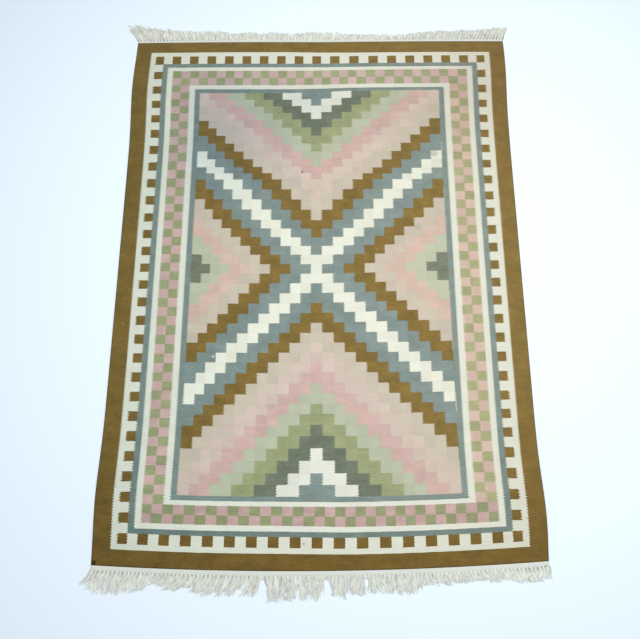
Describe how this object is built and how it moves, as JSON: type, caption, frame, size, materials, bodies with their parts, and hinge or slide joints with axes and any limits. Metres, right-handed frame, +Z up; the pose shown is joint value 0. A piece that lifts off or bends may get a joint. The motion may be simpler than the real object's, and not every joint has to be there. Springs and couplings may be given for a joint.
{
  "type": "kilim rug",
  "caption": "Flat-woven kilim rug with a stepped-diamond field, checked and squared borders, and a knotted cream fringe at both ends, lying flat.",
  "frame": {"origin": "middle of the weave's underside, on the floor", "axes": "+X across the rug, +Y along it towards the far end, +Z up"},
  "size_m": [1.7641, 2.6407, 0.004],
  "materials": {
    "weave": "matt woven wool",
    "fringe": "matt undyed cotton yarn"
  },
  "bodies": {
    "root": {"rug_weave": "weave", "fringe_far": "fringe", "fringe_near": "fringe"}
  },
  "joints": []
}
